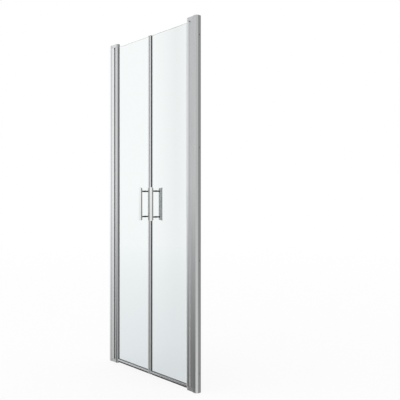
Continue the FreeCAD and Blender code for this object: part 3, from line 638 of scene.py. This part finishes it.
class DOOR_OT_stage(bpy.types.Operator):
    """Set up the floor, the light and the camera"""

    bl_idname = "door.stage"
    bl_label = "Stage"

    def execute(self, context):
        scene = context.scene
        stage = scene.door_stage
        self.world(scene, stage)
        self.floor(scene, stage)
        self.lamp(scene, stage)
        self.camera(scene, stage)
        scene.view_settings.view_transform = "Standard"
        return {"FINISHED"}

    def world(self, scene, stage):
        """White where it is seen, a grey room where it is mirrored, soft light for the rest."""
        world = bpy.data.worlds.new("studio")
        scene.world = world
        world.use_nodes = True
        tree = world.node_tree
        tree.nodes.clear()
        way = add_node(tree, "ShaderNodeTexCoord").outputs["Generated"]
        bearing = add_node(
            tree, "ShaderNodeTexGradient", {"gradient_type": "RADIAL"}, {"Vector": way})
        rise = add_node(tree, "ShaderNodeSeparateXYZ", inputs={"Vector": way})
        above = add_node(tree, "ShaderNodeMapRange", inputs={
            "Value": rise.outputs["Z"], "From Min": HORIZON[0], "From Max": HORIZON[1]})
        tones = []
        for rows in (ROOM_FLOOR, WALLS):
            ramp = add_node(tree, "ShaderNodeValToRGB", inputs={"Fac": bearing.outputs["Fac"]})
            stops = ramp.color_ramp.elements
            for angle, _ in rows[1:-1]:
                stops.new((angle - FIRST_BEARING) / FULL_TURN)
            for stop, (_, tone) in zip(stops, rows):
                stop.color = (tone, tone, tone, 1)
            tones.append(ramp.outputs["Color"])
        room = add_node(tree, "ShaderNodeMix", {"data_type": "FLOAT"}, {
            "Factor": above.outputs["Result"], "A": tones[0], "B": tones[1]})
        path, seen, mirrored_ray = ray_kinds(tree)
        shown = add_node(tree, "ShaderNodeMath", {"operation": "MAXIMUM"}, {
            0: seen, 1: path["Is Glossy Ray"]})
        view = add_node(tree, "ShaderNodeMix", {"data_type": "FLOAT"}, {
            "Factor": mirrored_ray, "A": 1.0, "B": room.outputs["Result"]})
        strength = add_node(tree, "ShaderNodeMix", {"data_type": "FLOAT"}, {
            "Factor": shown.outputs["Value"], "A": stage.ambient, "B": view.outputs["Result"]})
        sky = add_node(tree, "ShaderNodeBackground", inputs={
            "Color": PLAIN_WHITE, "Strength": strength.outputs["Result"]})
        output = add_node(tree, "ShaderNodeOutputWorld")
        tree.links.new(sky.outputs["Background"], output.inputs["Surface"])

    def floor(self, scene, stage):
        """Pale studio floor: white to the eye, with the door's shadow still on it, and painted shade
        near the door where it is seen through the glass.
        """
        bm = bmesh.new()
        bmesh.ops.create_grid(bm, x_segments=1, y_segments=1, size=STUDIO_HALF)
        bmesh.ops.translate(bm, verts=bm.verts[:], vec=(0, 0, -FLOOR_DROP))
        mesh = bpy.data.meshes.new("studio_floor")
        bm.to_mesh(mesh)
        bm.free()
        item = bpy.data.objects.new("studio_floor", mesh)
        scene.collection.objects.link(item)
        # Painted floor: matt and pale, plain white further off. Seen through the glass, it is
        # darkened towards the door by painted shade that fades out with distance.
        material, tree, output, spot = new_material("pale_studio_floor")
        path, seen, mirrored_ray = ray_kinds(tree)
        gap = add_node(tree, "ShaderNodeVectorMath", {"operation": "LENGTH"}, {"Vector": spot})
        reach = add_node(tree, "ShaderNodeMapRange", inputs={
            "Value": gap.outputs["Value"], "From Max": stage.clear_reach})
        eased = add_node(tree, "ShaderNodeMath", {"operation": "SQRT"}, {
            0: reach.outputs["Result"]}).outputs["Value"]
        # Painted shade: seen through the glass, the floor darkens towards the door and turns white
        # further off.
        behind = add_node(tree, "ShaderNodeMix", {"data_type": "RGBA"}, {
            "Factor": eased, "A": list(stage.near_floor_painted_shade), "B": PLAIN_WHITE})
        white_part = add_node(tree, "ShaderNodeMix", {"data_type": "FLOAT"}, {
            "Factor": eased, "A": stage.white_floor, "B": 1.0})
        share = add_node(tree, "ShaderNodeMath", {"operation": "MULTIPLY"}, {
            0: seen, 1: white_part.outputs["Result"]})
        tone = add_node(tree, "ShaderNodeMix", {"data_type": "RGBA"}, {
            "Factor": path["Is Transmission Ray"], "A": PLAIN_WHITE,
            "B": behind.outputs["Result"]})
        matt = add_node(tree, "ShaderNodeBsdfDiffuse", inputs={"Color": list(stage.floor)})
        white = add_node(tree, "ShaderNodeEmission", inputs={
            "Color": tone.outputs["Result"], "Strength": 1.0})
        mix = add_node(tree, "ShaderNodeMixShader", inputs={
            0: share.outputs["Value"], 1: matt.outputs["BSDF"], 2: white.outputs["Emission"]})
        # A mirrored ray goes on to the room's own floor in the world.
        clear = add_node(tree, "ShaderNodeBsdfTransparent")
        surface = add_node(tree, "ShaderNodeMixShader", inputs={
            0: mirrored_ray, 1: mix.outputs["Shader"], 2: clear.outputs["BSDF"]})
        tree.links.new(surface.outputs["Shader"], output.inputs["Surface"])
        mesh.materials.append(material)

    def lamp(self, scene, stage):
        """A large soft lamp in front on the left, which no metal or glass mirrors."""
        lamp = bpy.data.lights.new("soft_key", "AREA")
        lamp.shape = "SQUARE"
        lamp.size = stage.key_size
        lamp.energy = stage.key
        item = bpy.data.objects.new("soft_key", lamp)
        item.location = stage.key_place
        item.visible_glossy = False
        item.visible_transmission = False
        item.rotation_euler = (LAMP_AIM - item.location).to_track_quat("-Z", "Y").to_euler()
        scene.collection.objects.link(item)

    def camera(self, scene, stage):
        """A level camera at the photo's angle."""
        data = bpy.data.cameras.new("photo_view")
        data.sensor_width = SENSOR_MM
        data.lens = stage.focal_pixels * SENSOR_MM / PHOTO_PIXELS
        camera = bpy.data.objects.new("photo_view", data)
        camera.location = stage.eye
        camera.rotation_euler = (LEVEL, 0, stage.turn)
        scene.collection.objects.link(camera)
        scene.camera = camera


class DOOR_PT_panel(bpy.types.Panel):
    """Lists the steps that dress the door"""

    bl_idname = "DOOR_PT_panel"
    bl_label = "Shower door"
    bl_space_type = "VIEW_3D"
    bl_region_type = "UI"
    bl_category = "Shower door"

    def draw(self, context):
        for step in STEPS:
            self.layout.operator(step.bl_idname)


STEPS = (
    DOOR_OT_profiles, DOOR_OT_hinge_tubes, DOOR_OT_pivots, DOOR_OT_glass, DOOR_OT_seals,
    DOOR_OT_handles, DOOR_OT_stage,
)
GROUPS = {"door_finish": DoorFinish, "door_sizes": DoorSizes, "door_stage": DoorStage}


def register():
    for kind in (*GROUPS.values(), *STEPS, DOOR_PT_panel):
        bpy.utils.register_class(kind)
    for name, kind in GROUPS.items():
        setattr(bpy.types.Scene, name, PointerProperty(type=kind))


def unregister():
    for name in GROUPS:
        delattr(bpy.types.Scene, name)
    for kind in reversed((*GROUPS.values(), *STEPS, DOOR_PT_panel)):
        bpy.utils.unregister_class(kind)


def main():
    register()
    bpy.ops.door.profiles()
    bpy.ops.door.hinge_tubes()
    bpy.ops.door.pivots()
    bpy.ops.door.glass()
    bpy.ops.door.seals()
    bpy.ops.door.handles()
    bpy.ops.door.stage()


if __name__ == "__main__":
    main()
